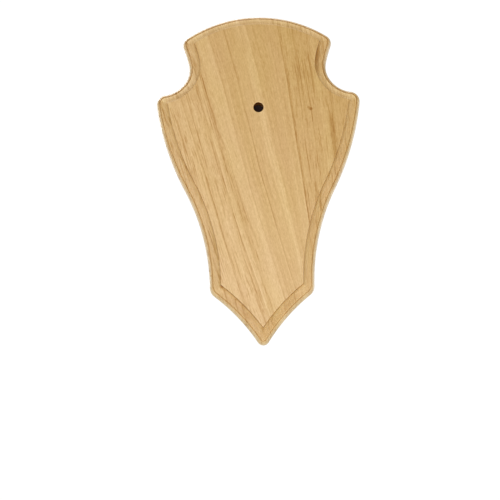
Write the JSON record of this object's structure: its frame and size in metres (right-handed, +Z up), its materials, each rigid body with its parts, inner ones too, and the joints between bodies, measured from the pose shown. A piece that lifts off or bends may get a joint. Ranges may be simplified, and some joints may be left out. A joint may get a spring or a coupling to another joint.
{
  "type": "antler mounting plaque",
  "caption": "Shield-shaped oak trophy board with a moulded edge, notched sides, a pointed foot, a screw hole for the antlers and a keyhole slot in the back.",
  "frame": {"origin": "on the flat back, on the centreline, halfway between the top of the crown and the tip, where the back rests against the wall", "axes": "+Z up the wall towards the crown, +Y out of the back into the wall, -Y out of the face towards the room, +X to the right seen from the front"},
  "size_m": [0.1222, 0.012, 0.2],
  "materials": {
    "oak": "light oak, finely sanded, thin matt oil"
  },
  "bodies": {
    "root": {"plaque": "oak"}
  },
  "joints": []
}
